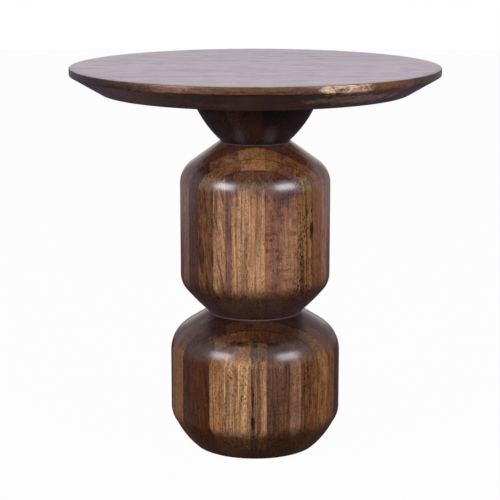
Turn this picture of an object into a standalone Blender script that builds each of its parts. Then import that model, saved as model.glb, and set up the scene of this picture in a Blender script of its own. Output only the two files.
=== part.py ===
"""Pedestal side table: a round top with a bevelled underside, on a neck and two drums.

The top, the neck and the drums are each glued up from boards, turned to shape and drilled. A tie
rod draws the pedestal up to a steel plate under the top, and dowels keep its pieces from turning.
"""

import math

import bmesh
import bpy
from mathutils import Matrix, Vector

# Lengths are in metres. +Z is up, and the origin is on the floor under the table's centre.
# The boards of the top run along X, and those of the pedestal stand upright, face to face along Y.

# Round top
TOP_DIAMETER = 0.508
TOP_THICKNESS = 0.0342
TOP_EDGE_HEIGHT = 0.0097
TOP_UNDERSIDE_DIAMETER = 0.4245
TOP_ARRIS_ROUND = 0.0016
TOP_BOARD_COUNT = 5

# Neck, widest at the top
NECK_HEIGHT = 0.0675
NECK_TOP_DIAMETER = 0.180
NECK_FOOT_DIAMETER = 0.0952
NECK_BOW = 0.0053
NECK_BOARD_COUNT = 8

# Upper drum: a shoulder, an upright side and a taper, with heights taken to the sharp corners
UPPER_HEIGHT = 0.239
UPPER_DIAMETER = 0.2084
UPPER_FOOT_DIAMETER = 0.1308
UPPER_SHOULDER_DROP = 0.0406
UPPER_SHOULDER_ROUND = 0.0375
UPPER_TAPER_RISE = 0.0395
UPPER_TAPER_ROUND = 0.031
UPPER_TAPER_BOW = 0.0008
UPPER_BOARD_COUNT = 12

# Lower drum, of the same form but wider and shorter
LOWER_HEIGHT = 0.193
LOWER_DIAMETER = 0.2374
LOWER_FOOT_DIAMETER = 0.1708
LOWER_SHOULDER_DROP = 0.0333
LOWER_SHOULDER_ROUND = 0.045
LOWER_TAPER_RISE = 0.0437
LOWER_TAPER_ROUND = 0.032
LOWER_TAPER_BOW = 0.0022
LOWER_BOARD_COUNT = 13

# Each piece stands on a land that is a little wider than its foot
SEAM_LEDGE = 0.0008

# Tie rod with its nuts and washer
ROD_DIAMETER = 0.010
ROD_TAIL = 0.003
NUT_WIDTH = 0.017
NUT_HEIGHT = 0.008
WASHER_DIAMETER = 0.030
WASHER_THICKNESS = 0.0025
COUNTERBORE_DEPTH = 0.025

# Plate let into the top of the neck, and the screws that hold it to the top
PLATE_DIAMETER = 0.140
PLATE_THICKNESS = 0.004
PLATE_SCREW_COUNT = 4
PLATE_SCREW_INSET = 0.012
SCREW_LENGTH = 0.028
SCREW_DIAMETER = 0.0045
SCREW_POINT = 0.006
SCREW_HEAD_DIAMETER = 0.0092
SCREW_HEAD_HEIGHT = 0.0028
SCREW_HEAD_LAND = 0.0004

# Dowels across the two seams, and felt pads under the base
DOWEL_COUNT = 2
NECK_DOWEL_DIAMETER = 0.010
NECK_DOWEL_LENGTH = 0.040
NECK_DOWEL_INSET = 0.018
WAIST_DOWEL_DIAMETER = 0.012
WAIST_DOWEL_LENGTH = 0.050
WAIST_DOWEL_INSET = 0.025
DOWEL_CHAMFER = 0.001
PAD_COUNT = 4
PAD_DIAMETER = 0.025
PAD_THICKNESS = 0.002
PAD_INSET = 0.022

# Clearances
FIT_GAP = 0.0003
GLUE_LINE = 0.0003
BORE_CLEARANCE = 0.0005
WASHER_CLEARANCE = 0.003
NUT_CLEARANCE = 0.002
POCKET_HEADROOM = 0.002
DOWEL_END_GAP = 0.001
TURNING_ALLOWANCE = 0.0005
BLANK_MARGIN = 0.002

# Fineness of the round forms
TOP_SEGMENTS = 80
DRUM_SEGMENTS = 48
HARDWARE_SEGMENTS = 16
PAD_SEGMENTS = 24
NUT_SIDES = 6
CORNER_STEPS = 4
BOW_STEPS = 3
CORNER_SHARE = 0.45
MERGE_DISTANCE = 0.00001

# Heights of the pieces, worked up from the floor
LOWER_BOTTOM = PAD_THICKNESS + FIT_GAP
LOWER_TOP = LOWER_BOTTOM + LOWER_HEIGHT
UPPER_BOTTOM = LOWER_TOP + FIT_GAP
UPPER_TOP = UPPER_BOTTOM + UPPER_HEIGHT
NECK_BOTTOM = UPPER_TOP + FIT_GAP
NECK_TOP = NECK_BOTTOM + NECK_HEIGHT
TOP_BOTTOM = NECK_TOP + FIT_GAP
TOP_TOP = TOP_BOTTOM + TOP_THICKNESS

# Sizes that follow from the fits
BORE_RADIUS = ROD_DIAMETER / 2 + BORE_CLEARANCE
HOLE_RADIUS = ROD_DIAMETER / 2 + FIT_GAP
COUNTERBORE_RADIUS = WASHER_DIAMETER / 2 + WASHER_CLEARANCE
PLATE_RECESS_RADIUS = PLATE_DIAMETER / 2 + FIT_GAP
PLATE_BOTTOM = NECK_TOP - PLATE_THICKNESS
NUT_CORNER_RADIUS = NUT_WIDTH / 2 / math.cos(math.pi / NUT_SIDES)
PLATE_NUT_BOTTOM = NECK_TOP + FIT_GAP
PLATE_NUT_TOP = PLATE_NUT_BOTTOM + NUT_HEIGHT
WASHER_BOTTOM = LOWER_BOTTOM + COUNTERBORE_DEPTH - FIT_GAP - WASHER_THICKNESS
FOOT_NUT_BOTTOM = WASHER_BOTTOM - FIT_GAP - NUT_HEIGHT
ROD_BOTTOM = FOOT_NUT_BOTTOM - ROD_TAIL
ROD_TOP = PLATE_NUT_TOP + ROD_TAIL
POCKET_RADIUS = NUT_CORNER_RADIUS + NUT_CLEARANCE
POCKET_TOP = ROD_TOP + POCKET_HEADROOM

# Colours
BOARD_TONES = (
    (0.118, 0.048, 0.022),
    (0.165, 0.078, 0.036),
    (0.082, 0.032, 0.017),
    (0.205, 0.108, 0.050),
    (0.100, 0.044, 0.024),
)
STEEL = (0.42, 0.42, 0.43)
BEECH = (0.52, 0.36, 0.20)
FELT = (0.05, 0.045, 0.04)


def new_collection(name):
    """A collection in the scene."""
    collection = bpy.data.collections.new(name)
    bpy.context.scene.collection.children.link(collection)
    return collection


def clear_scene():
    """Removes what the scene holds before the table is built."""
    for old in list(bpy.data.objects):
        bpy.data.objects.remove(old, do_unlink=True)


clear_scene()
parts = new_collection("pedestal_side_table")
cutters = new_collection("cutters")
table = bpy.data.objects.new("table", None)
parts.objects.link(table)


def add_object(name, mesh, collection):
    """An object in one of the two collections. A cutter shows only as wire."""
    item = bpy.data.objects.new(name, mesh)
    collection.objects.link(item)
    if collection is cutters:
        item.hide_render = True
        item.display_type = "WIRE"
    else:
        item.parent = table
    return item


def finish(item, colour, roughness, metallic=0.0):
    """Gives a piece its own material."""
    material = bpy.data.materials.new(f"{item.name}_finish")
    material.use_nodes = True
    shader = material.node_tree.nodes["Principled BSDF"]
    shader.inputs["Base Color"].default_value = (*colour, 1.0)
    shader.inputs["Roughness"].default_value = roughness
    shader.inputs["Metallic"].default_value = metallic
    item.data.materials.append(material)


def cut(item, cutter, operation="DIFFERENCE"):
    """Cuts a piece with a cutter, or keeps only what the cutter holds."""
    boolean = item.modifiers.new(cutter.name, "BOOLEAN")
    boolean.operation = operation
    boolean.object = cutter


def turned(name, profile, collection, segments, closed=False):
    """Turns a profile of (radius, height) points, listed down its outer side, about Z."""
    mesh = bpy.data.meshes.new(name)
    edges = [(i, i + 1) for i in range(len(profile) - 1)]
    if closed:
        edges.append((len(profile) - 1, 0))
    mesh.from_pydata([(radius, 0.0, height) for radius, height in profile], edges, [])
    item = add_object(name, mesh, collection)
    screw = item.modifiers.new("turning", "SCREW")
    screw.steps = segments
    screw.render_steps = segments
    screw.use_merge_vertices = True
    screw.merge_threshold = MERGE_DISTANCE
    return item


def cylinder(name, radius, bottom, top, collection, segments=HARDWARE_SEGMENTS):
    """An upright cylinder or prism on the Z axis."""
    shape = bmesh.new()
    middle = Matrix.Translation((0.0, 0.0, (bottom + top) / 2))
    bmesh.ops.create_cone(
        shape, cap_ends=True, segments=segments, radius1=radius, radius2=radius,
        depth=top - bottom, matrix=middle,
    )
    mesh = bpy.data.meshes.new(name)
    shape.to_mesh(mesh)
    shape.free()
    return add_object(name, mesh, collection)


def rounded(before, corner, after, radius):
    """Points of an arc that rounds a profile's corner, kept within the sides that it joins."""
    corner = Vector(corner)
    back = Vector(before) - corner
    ahead = Vector(after) - corner
    half_angle = back.angle(ahead) / 2
    reach = min(radius / math.tan(half_angle), CORNER_SHARE * back.length, CORNER_SHARE * ahead.length)
    radius = reach * math.tan(half_angle)
    inward = (back.normalized() + ahead.normalized()).normalized()
    centre = corner + inward * radius / math.sin(half_angle)
    start = (corner + back.normalized() * reach - centre).normalized()
    end = (corner + ahead.normalized() * reach - centre).normalized()
    return [centre + start.slerp(end, i / CORNER_STEPS) * radius for i in range(CORNER_STEPS + 1)]


def bowed(start, end, bow):
    """Points of a shallow curve down a profile, standing out from its straight line by bow."""
    start = Vector(start)
    along = Vector(end) - start
    outward = Vector((-along.y, along.x)).normalized()
    shares = [i / BOW_STEPS for i in range(BOW_STEPS + 1)]
    return [start + along * t + outward * bow * 4 * t * (1 - t) for t in shares]


def drum_side(land, radius, foot, top, bottom, drop, shoulder_round, rise, taper_round, taper_bow):
    """Outer side of a drum: a straight shoulder, an upright side and a bowed taper."""
    land_edge = (land, top)
    shoulder = (radius, top - drop)
    hip = (radius, bottom + rise)
    foot_edge = (foot, bottom)
    taper = rounded(shoulder, hip, foot_edge, taper_round)
    return [
        land_edge,
        *rounded(land_edge, shoulder, hip, shoulder_round),
        *taper[:-1],
        *bowed(taper[-1], foot_edge, taper_bow),
    ]


def board_spans(diameter, count):
    """Near and far faces along Y of the equal boards that make up a blank."""
    blank = diameter + 2 * TURNING_ALLOWANCE
    size = blank / count
    return [(i * size - blank / 2, (i + 1) * size - blank / 2) for i in range(count)]


def glued_boards(piece, form, spans, diameter, bottom, top, drills):
    """Boards of a glued-up piece: each one is cut to the turned form and then drilled."""
    length = diameter + 2 * BLANK_MARGIN
    height = top - bottom + 2 * BLANK_MARGIN
    for number, (near, far) in enumerate(spans, 1):
        size = Vector((length, far - near - GLUE_LINE, height))
        shape = bmesh.new()
        bmesh.ops.create_cube(shape, size=1.0, matrix=Matrix.Diagonal((*size, 1.0)))
        name = f"{piece}_board_{number}"
        mesh = bpy.data.meshes.new(name)
        shape.to_mesh(mesh)
        shape.free()
        board = add_object(name, mesh, parts)
        board.location = (0.0, (near + far) / 2, (bottom + top) / 2)
        finish(board, BOARD_TONES[(number + len(piece)) % len(BOARD_TONES)], roughness=0.3)
        cut(board, form, "INTERSECT")
        for drill in drills:
            cut(board, drill)


def ring_places(count, radius, first_angle):
    """Places spaced evenly round the axis."""
    angles = [first_angle + 2 * math.pi * i / count for i in range(count)]
    return [Vector((radius * math.cos(a), radius * math.sin(a), 0.0)) for a in angles]


def screw_profile(clearance):
    """A countersunk screw that points up, with its head in the plate's lower face."""
    shank = SCREW_DIAMETER / 2 + clearance
    head = SCREW_HEAD_DIAMETER / 2 + clearance
    tip = PLATE_BOTTOM + SCREW_LENGTH + clearance
    return [
        (0.0, tip),
        (shank, tip - SCREW_POINT),
        (shank, PLATE_BOTTOM + SCREW_HEAD_HEIGHT),
        (head, PLATE_BOTTOM + SCREW_HEAD_LAND),
        (head, PLATE_BOTTOM - clearance),
        (0.0, PLATE_BOTTOM - clearance),
    ]


def plate_screws():
    """Screws through the plate, and the cutters for their holes."""
    circle = PLATE_DIAMETER / 2 - PLATE_SCREW_INSET
    drills = []
    for number, place in enumerate(ring_places(PLATE_SCREW_COUNT, circle, math.pi / 4), 1):
        screw = turned(f"plate_screw_{number}", screw_profile(0.0), parts, HARDWARE_SEGMENTS)
        screw.location = place
        finish(screw, STEEL, roughness=0.35, metallic=1.0)
        drill = turned(f"screw_hole_{number}", screw_profile(FIT_GAP), cutters, HARDWARE_SEGMENTS)
        drill.location = place
        drills.append(drill)
    return drills


def dowels(seam_name, seam, circle, diameter, length):
    """Dowels across a seam, and the cutters for their holes."""
    drills = []
    reach = length / 2
    for number, place in enumerate(ring_places(DOWEL_COUNT, circle, 0.0), 1):
        dowel = cylinder(f"{seam_name}_dowel_{number}", diameter / 2, seam - reach, seam + reach, parts)
        dowel.location = place
        chamfer = dowel.modifiers.new("chamfer", "BEVEL")
        chamfer.width = DOWEL_CHAMFER
        chamfer.segments = 1
        finish(dowel, BEECH, roughness=0.6)
        depth = reach + DOWEL_END_GAP
        radius = diameter / 2 + FIT_GAP
        drill = cylinder(f"{seam_name}_hole_{number}", radius, seam - depth, seam + depth, cutters)
        drill.location = place
        drills.append(drill)
    return drills


def build_top(screw_drills):
    """Round top, with a pocket underneath for the plate's nut."""
    radius = TOP_DIAMETER / 2
    under = TOP_UNDERSIDE_DIAMETER / 2
    rim = (radius, TOP_TOP)
    bevel_edge = (radius, TOP_TOP - TOP_EDGE_HEIGHT)
    under_edge = (under, TOP_BOTTOM)
    profile = [
        (0.0, TOP_TOP),
        *rounded((0.0, TOP_TOP), rim, bevel_edge, TOP_ARRIS_ROUND),
        *rounded(rim, bevel_edge, under_edge, TOP_ARRIS_ROUND),
        under_edge,
        (POCKET_RADIUS, TOP_BOTTOM),
        (POCKET_RADIUS, POCKET_TOP),
        (0.0, POCKET_TOP),
    ]
    form = turned("top_form", profile, cutters, TOP_SEGMENTS)
    spans = board_spans(TOP_DIAMETER, TOP_BOARD_COUNT)
    glued_boards("top", form, spans, TOP_DIAMETER, TOP_BOTTOM, TOP_TOP, screw_drills)


def build_neck(dowel_drills):
    """Neck, with a recess in its upper face for the plate."""
    recess_floor = PLATE_BOTTOM - FIT_GAP
    side = bowed((NECK_TOP_DIAMETER / 2, NECK_TOP), (NECK_FOOT_DIAMETER / 2, NECK_BOTTOM), NECK_BOW)
    profile = [
        (BORE_RADIUS, recess_floor),
        (PLATE_RECESS_RADIUS, recess_floor),
        (PLATE_RECESS_RADIUS, NECK_TOP),
        *side,
        (BORE_RADIUS, NECK_BOTTOM),
    ]
    form = turned("neck_form", profile, cutters, DRUM_SEGMENTS, closed=True)
    spans = board_spans(NECK_TOP_DIAMETER, NECK_BOARD_COUNT)
    glued_boards("neck", form, spans, NECK_TOP_DIAMETER, NECK_BOTTOM, NECK_TOP, dowel_drills)


def build_upper_drum(dowel_drills):
    """Upper drum, bored for the tie rod."""
    side = drum_side(
        land=NECK_FOOT_DIAMETER / 2 + SEAM_LEDGE, radius=UPPER_DIAMETER / 2, foot=UPPER_FOOT_DIAMETER / 2,
        top=UPPER_TOP, bottom=UPPER_BOTTOM,
        drop=UPPER_SHOULDER_DROP, shoulder_round=UPPER_SHOULDER_ROUND,
        rise=UPPER_TAPER_RISE, taper_round=UPPER_TAPER_ROUND, taper_bow=UPPER_TAPER_BOW,
    )
    profile = [(BORE_RADIUS, UPPER_TOP), *side, (BORE_RADIUS, UPPER_BOTTOM)]
    form = turned("upper_drum_form", profile, cutters, DRUM_SEGMENTS, closed=True)
    spans = board_spans(UPPER_DIAMETER, UPPER_BOARD_COUNT)
    glued_boards("upper_drum", form, spans, UPPER_DIAMETER, UPPER_BOTTOM, UPPER_TOP, dowel_drills)


def build_lower_drum(dowel_drills):
    """Lower drum, with a counterbore underneath for the foot nut."""
    counterbore_top = LOWER_BOTTOM + COUNTERBORE_DEPTH
    side = drum_side(
        land=UPPER_FOOT_DIAMETER / 2 + SEAM_LEDGE, radius=LOWER_DIAMETER / 2, foot=LOWER_FOOT_DIAMETER / 2,
        top=LOWER_TOP, bottom=LOWER_BOTTOM,
        drop=LOWER_SHOULDER_DROP, shoulder_round=LOWER_SHOULDER_ROUND,
        rise=LOWER_TAPER_RISE, taper_round=LOWER_TAPER_ROUND, taper_bow=LOWER_TAPER_BOW,
    )
    profile = [
        (BORE_RADIUS, LOWER_TOP),
        *side,
        (COUNTERBORE_RADIUS, LOWER_BOTTOM),
        (COUNTERBORE_RADIUS, counterbore_top),
        (BORE_RADIUS, counterbore_top),
    ]
    form = turned("lower_drum_form", profile, cutters, DRUM_SEGMENTS, closed=True)
    spans = board_spans(LOWER_DIAMETER, LOWER_BOARD_COUNT)
    glued_boards("lower_drum", form, spans, LOWER_DIAMETER, LOWER_BOTTOM, LOWER_TOP, dowel_drills)


def ring(name, outer, bottom, top, segments):
    """A flat ring that the tie rod passes through."""
    profile = [(HOLE_RADIUS, top), (outer, top), (outer, bottom), (HOLE_RADIUS, bottom)]
    item = turned(name, profile, parts, segments, closed=True)
    finish(item, STEEL, roughness=0.4, metallic=1.0)
    return item


def hex_nut(name, bottom, thread_hole):
    """A hexagon nut on the tie rod."""
    nut = cylinder(name, NUT_CORNER_RADIUS, bottom, bottom + NUT_HEIGHT, parts, segments=NUT_SIDES)
    cut(nut, thread_hole)
    finish(nut, STEEL, roughness=0.4, metallic=1.0)


def build_hardware(screw_drills):
    """Plate, tie rod, nuts and washer on the axis."""
    plate = ring("top_plate", PLATE_DIAMETER / 2, PLATE_BOTTOM, NECK_TOP, DRUM_SEGMENTS)
    for drill in screw_drills:
        cut(plate, drill)
    washer_top = WASHER_BOTTOM + WASHER_THICKNESS
    ring("foot_washer", WASHER_DIAMETER / 2, WASHER_BOTTOM, washer_top, HARDWARE_SEGMENTS)
    rod = cylinder("tie_rod", ROD_DIAMETER / 2, ROD_BOTTOM, ROD_TOP, parts)
    finish(rod, STEEL, roughness=0.4, metallic=1.0)
    thread_hole = cylinder("thread_hole", HOLE_RADIUS, ROD_BOTTOM, ROD_TOP, cutters)
    hex_nut("plate_nut", PLATE_NUT_BOTTOM, thread_hole)
    hex_nut("foot_nut", FOOT_NUT_BOTTOM, thread_hole)


def build_pads():
    """Felt pads that the base stands on."""
    circle = LOWER_FOOT_DIAMETER / 2 - PAD_INSET
    for number, place in enumerate(ring_places(PAD_COUNT, circle, math.pi / 4), 1):
        name = f"felt_pad_{number}"
        pad = cylinder(name, PAD_DIAMETER / 2, 0.0, PAD_THICKNESS, parts, PAD_SEGMENTS)
        pad.location = place
        finish(pad, FELT, roughness=0.95)


neck_circle = NECK_FOOT_DIAMETER / 2 - NECK_DOWEL_INSET
waist_circle = UPPER_FOOT_DIAMETER / 2 - WAIST_DOWEL_INSET
neck_drills = dowels("neck", NECK_BOTTOM, neck_circle, NECK_DOWEL_DIAMETER, NECK_DOWEL_LENGTH)
waist_drills = dowels("waist", UPPER_BOTTOM, waist_circle, WAIST_DOWEL_DIAMETER, WAIST_DOWEL_LENGTH)
plate_drills = plate_screws()
build_top(plate_drills)
build_neck(neck_drills)
build_upper_drum(neck_drills + waist_drills)
build_lower_drum(waist_drills)
build_hardware(plate_drills)
build_pads()
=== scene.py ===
"""Pedestal side table, dressed for looks around its packed CAD frame.

Each glued-up part is one smooth turned piece. It is sawn along its boards' joints, and every board
carries its own tone and figure, which the lacquered wood materials read.
"""

import bisect
import math
import random
from collections import namedtuple
from types import SimpleNamespace

import bmesh
import bpy
from bpy.props import FloatProperty, FloatVectorProperty, IntProperty, PointerProperty
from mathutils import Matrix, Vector


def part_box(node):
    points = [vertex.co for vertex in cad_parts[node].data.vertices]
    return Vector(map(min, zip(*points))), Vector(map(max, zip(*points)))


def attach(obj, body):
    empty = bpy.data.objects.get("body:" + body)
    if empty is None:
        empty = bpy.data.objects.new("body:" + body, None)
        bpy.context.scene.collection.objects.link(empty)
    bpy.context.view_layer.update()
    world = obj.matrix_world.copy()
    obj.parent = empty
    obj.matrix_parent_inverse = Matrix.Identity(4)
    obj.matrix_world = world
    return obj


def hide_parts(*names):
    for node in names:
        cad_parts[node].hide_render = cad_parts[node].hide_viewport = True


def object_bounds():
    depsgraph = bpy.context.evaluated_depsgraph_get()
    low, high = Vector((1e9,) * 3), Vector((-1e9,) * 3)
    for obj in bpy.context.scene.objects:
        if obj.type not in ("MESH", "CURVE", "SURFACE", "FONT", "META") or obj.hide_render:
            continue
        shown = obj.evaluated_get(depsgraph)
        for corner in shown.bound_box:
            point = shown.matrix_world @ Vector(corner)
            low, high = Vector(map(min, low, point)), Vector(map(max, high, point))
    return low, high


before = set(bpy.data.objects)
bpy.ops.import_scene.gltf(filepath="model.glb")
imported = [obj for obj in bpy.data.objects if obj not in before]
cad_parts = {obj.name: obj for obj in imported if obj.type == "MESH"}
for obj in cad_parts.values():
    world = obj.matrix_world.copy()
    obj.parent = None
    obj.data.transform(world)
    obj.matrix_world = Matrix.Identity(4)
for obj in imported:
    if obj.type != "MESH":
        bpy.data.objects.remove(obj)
CAD_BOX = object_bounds()

bl_info = {
    "name": "Pedestal Side Table",
    "version": (1, 0, 0),
    "blender": (4, 5, 0),
    "location": "3D View > Sidebar > Side Table",
    "description": "Builds a turned side table that is glued up from mixed hardwood boards",
    "category": "Object",
}


# What the CAD frame gives
def board_nodes(part):
    """Names of a part's board nodes, from the front to the back."""
    boards = [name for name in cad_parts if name.startswith(f"{part}_board_")]
    return sorted(boards, key=lambda name: int(name.rsplit("_", 1)[1]))


def reach(names):
    """Lowest and highest corners of a group of nodes."""
    lows, highs = zip(*(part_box(name) for name in names))
    return Vector(map(min, zip(*lows))), Vector(map(max, zip(*highs)))


def joint_places(names):
    """Places along Y where neighbouring boards are glued."""
    boxes = [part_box(name) for name in names]
    return [(front[1].y + back[0].y) / 2 for front, back in zip(boxes, boxes[1:])]


TOP_BOARDS = board_nodes("top")
NECK_BOARDS = board_nodes("neck")
TOP_LOW, TOP_HIGH = reach(TOP_BOARDS)
NECK_LOW, NECK_HIGH = reach(NECK_BOARDS)
PADS = [name for name in sorted(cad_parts) if name.startswith("felt_pad_")]

# Fineness of the turned forms
TOP_STEPS = 288
DRUM_STEPS = 192
HARDWARE_STEPS = 48
CORNER_STEPS = 12
BOW_STEPS = 12
EDGE_STEPS = 4
LONGEST_FACE = 0.012
CORNER_SHARE = 0.45
MERGE_DISTANCE = 0.000002
START_SIZE = 0.01
RIM_SLOPE = 0.7
SMOOTH_ANGLE = math.radians(32)

# The nut's chamfers, as shares of its sizes
NUT_FALL = 0.7
NUT_FACE = 0.96
NUT_CLEAR = 1.01
NUT_TALL = 1.2

# The stage
SENSOR_WIDTH = 36.0
CLIP_END = 50.0
LEFT_BOX = (1.0, 0.8)
RIGHT_BOX = (1.1, 0.8)
FLOOR_SIZE = 12.0
FLOOR_DROP = 0.0001
CARD_NEAR = (0.62, 1.6)
CARD_FAR = (2.2, 0.2)
CARD_HEIGHT = 3.0
WHITE = (1.0, 1.0, 1.0, 1.0)


# Settings
def measure(name, description, default, **kind):
    """A setting with a unit or subtype of its own, where one fits."""
    return FloatProperty(name=name, description=description, default=default, **kind)


def length(name, description, default):
    """A length setting."""
    return measure(name, description, default, min=0.0, precision=4, subtype="DISTANCE", unit="LENGTH")


def share(name, description, default):
    """A setting between nothing and all."""
    return measure(name, description, default, min=0.0, max=1.0, subtype="FACTOR")


def colour(name, description, default):
    """A colour setting, in linear light."""
    return FloatVectorProperty(
        name=name, description=description, default=default, size=3, min=0.0, max=1.0, subtype="COLOR",
    )


class TopSizes(bpy.types.PropertyGroup):
    """Sizes of the round top."""

    diameter: length("Diameter", "Across the rim", 0.508)
    underside_diameter: length("Underside diameter", "Across the flat under the bevel", 0.4245)
    edge_height: length("Edge height", "Upright edge above the bevel", 0.0097)
    arris_round: length("Arris round", "Rounding of the rim's edges", 0.0016)
    pocket_diameter: length("Pocket diameter", "Pocket underneath for the plate's nut", 0.02363)
    pocket_depth: length("Pocket depth", "Depth of that pocket", 0.013)


class NeckSizes(bpy.types.PropertyGroup):
    """Sizes of the neck."""

    top_diameter: length("Top diameter", "Across the neck under the top", 0.180)
    foot_diameter: length("Foot diameter", "Across the neck on the upper drum", 0.0952)
    bow: length("Bow", "How far the side stands out from a straight cone", 0.0053)
    recess_diameter: length("Recess diameter", "Recess that takes the steel plate", 0.1406)
    recess_depth: length("Recess depth", "Depth of that recess", 0.0043)


DRUM_SETTINGS = {
    "diameter": (length, "Diameter", "Across the upright side"),
    "land_diameter": (length, "Land diameter", "Across the land that the next piece stands on"),
    "foot_diameter": (length, "Foot diameter", "Across the foot of the taper"),
    "shoulder_drop": (length, "Shoulder drop", "Fall of the shoulder to its corner"),
    "shoulder_round": (length, "Shoulder round", "Rounding of that corner"),
    "taper_rise": (length, "Taper rise", "Height of the taper's corner above the foot"),
    "taper_round": (length, "Taper round", "Rounding of that corner"),
    "taper_bow": (length, "Taper bow", "How far the taper stands out from a straight cone"),
    "gloss": (share, "Gloss", "Lacquer on the drum"),
    "crown_gloss": (share, "Crown gloss", "How much more lacquer the shoulder has"),
    "crown_stain": (share, "Crown stain", "Darkening of the shoulder"),
    # Stain and painted shade: darkens the taper, which faces down, towards the foot
    "foot_stain": (colour, "Foot stain", "Stain on the taper"),
}


def drum_settings(**defaults):
    """The settings that both drums have, with the defaults of one."""
    return {key: kind(name, text, defaults[key]) for key, (kind, name, text) in DRUM_SETTINGS.items()}


class UpperDrum(bpy.types.PropertyGroup):
    """Sizes and finish of the upper drum."""

    __annotations__ = drum_settings(
        diameter=0.2084, land_diameter=0.0968, foot_diameter=0.1308,
        shoulder_drop=0.0406, shoulder_round=0.0375,
        taper_rise=0.0395, taper_round=0.031, taper_bow=0.0008,
        gloss=1.0, crown_gloss=0.0, crown_stain=0.0, foot_stain=(0.046, 0.0195, 0.0095),
    )


class LowerDrum(bpy.types.PropertyGroup):
    """Sizes and finish of the lower drum."""

    __annotations__ = drum_settings(
        diameter=0.2374, land_diameter=0.1324, foot_diameter=0.1708,
        shoulder_drop=0.0333, shoulder_round=0.045,
        taper_rise=0.0437, taper_round=0.032, taper_bow=0.0022,
        gloss=0.60, crown_gloss=0.48, crown_stain=0.76, foot_stain=(0.052, 0.0205, 0.0048),
    )
    counterbore_diameter: length("Counterbore diameter", "Counterbore underneath for the foot nut", 0.036)
    counterbore_depth: length("Counterbore depth", "Depth of that counterbore", 0.025)


class FittingSizes(bpy.types.PropertyGroup):
    """Sizes that the turned pieces and the fittings share."""

    bore_diameter: length("Bore diameter", "Bore for the tie rod", 0.011)
    seam_round: length("Seam round", "Rounding of the edges at the seams", 0.0007)
    thread_pitch: length("Thread pitch", "Pitch of the tie rod's thread", 0.0015)
    thread_depth: length("Thread depth", "Depth of the tie rod's thread", 0.0008)
    thread_length: length("Thread length", "Threaded length at each end of the tie rod", 0.030)
    nut_width: length("Nut width", "Nut across its flats", 0.017)
    edge_round: length("Edge round", "Rounding of the washer's and pads' edges", 0.0005)


class WoodColours(bpy.types.PropertyGroup):
    """Tones of the stained boards."""

    gold: colour("Gold", "Pale boards", (0.332, 0.184, 0.091))
    honey: colour("Honey", "Orange boards", (0.302, 0.145, 0.061))
    tan: colour("Tan", "Grey-gold boards", (0.272, 0.144, 0.075))
    mauve: colour("Mauve", "Boards with a purple cast", (0.206, 0.095, 0.055))
    drab: colour("Drab", "Grey-brown boards", (0.195, 0.104, 0.058))
    smoke: colour("Smoke", "Purple-grey heartwood", (0.150, 0.072, 0.052))
    olive: colour("Olive", "Yellow-brown boards", (0.194, 0.091, 0.031))
    rust: colour("Rust", "Orange-brown boards", (0.150, 0.060, 0.022))
    bark: colour("Bark", "Mid brown boards", (0.122, 0.052, 0.021))
    chestnut: colour("Chestnut", "Dark red-brown boards", (0.108, 0.049, 0.026))
    umber: colour("Umber", "Dark brown boards", (0.065, 0.0235, 0.0095))
    soot: colour("Soot", "Darkest boards", (0.060, 0.026, 0.016))
    plum: colour("Plum", "Boards of the top", (0.168, 0.095, 0.075))
    fig: colour("Fig", "Darker boards of the top", (0.144, 0.079, 0.061))
    grape: colour("Grape", "Dark purple heartwood", (0.075, 0.036, 0.038))
    wheat: colour("Wheat", "Pale yellow boards", (0.380, 0.216, 0.101))
    straw: colour("Straw", "Sapwood on the rim", (0.470, 0.325, 0.215))


class WoodFinish(bpy.types.PropertyGroup):
    """Stain, painted shade and highlight, and lacquer."""

    rim_stain: share("Rim stain", "Darkening of the ends of the top's boards", 1.0)
    # Painted shade: darkens the top's bevel and underside where they face down
    painted_under_shade: share("Painted under shade", "Painted shade on the top's bevel and underside", 1.0)
    # Stain and painted shade: darkens the neck, which stands under the top
    neck_stain_and_shade: share("Neck stain and shade", "Stain and painted shade on the neck", 0.95)
    rim_gloss: share("Rim gloss", "Lacquer on the top's rim and bevel", 0.60)
    neck_gloss: share("Neck gloss", "Lacquer on the neck", 0.80)
    foot_gloss: share("Foot gloss", "How much of a drum's lacquer is left on its taper", 0.30)
    pedestal_roughness: share("Pedestal roughness", "Roughness of the pedestal's lacquer", 0.25)
    pedestal_ior: measure("Pedestal IOR", "Index of refraction of that lacquer", 1.5)
    pedestal_bloom: share("Pedestal bloom", "Haze of that lacquer, seen along its surface", 0.05)
    pedestal_tint: colour("Pedestal tint", "Colour of that haze", (0.75, 0.60, 1.0))
    top_roughness: share("Top roughness", "Roughness of the satin lacquer on the top", 0.68)
    top_ior: measure("Top IOR", "Index of refraction of the satin lacquer", 1.80)
    top_bloom: share("Top bloom", "Haze of the satin lacquer, seen along its surface", 0.29)
    top_tint: colour("Top tint", "Colour of that haze", (0.89, 0.885, 1.0))
    # Painted highlight: a pale line on the ledge at each seam, where it catches the lamps
    ledge_highlight_tone: colour("Ledge highlight", "Painted highlight on the ledge at each seam", (0.095, 0.080, 0.078))


class FittingColours(bpy.types.PropertyGroup):
    """Colours of the hidden fittings and the pads."""

    steel: colour("Steel", "Zinc-plated steel", (0.55, 0.55, 0.56))
    beech: colour("Beech", "Dowels", (0.52, 0.36, 0.20))
    felt: colour("Felt", "Pads", (0.030, 0.026, 0.023))


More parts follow.
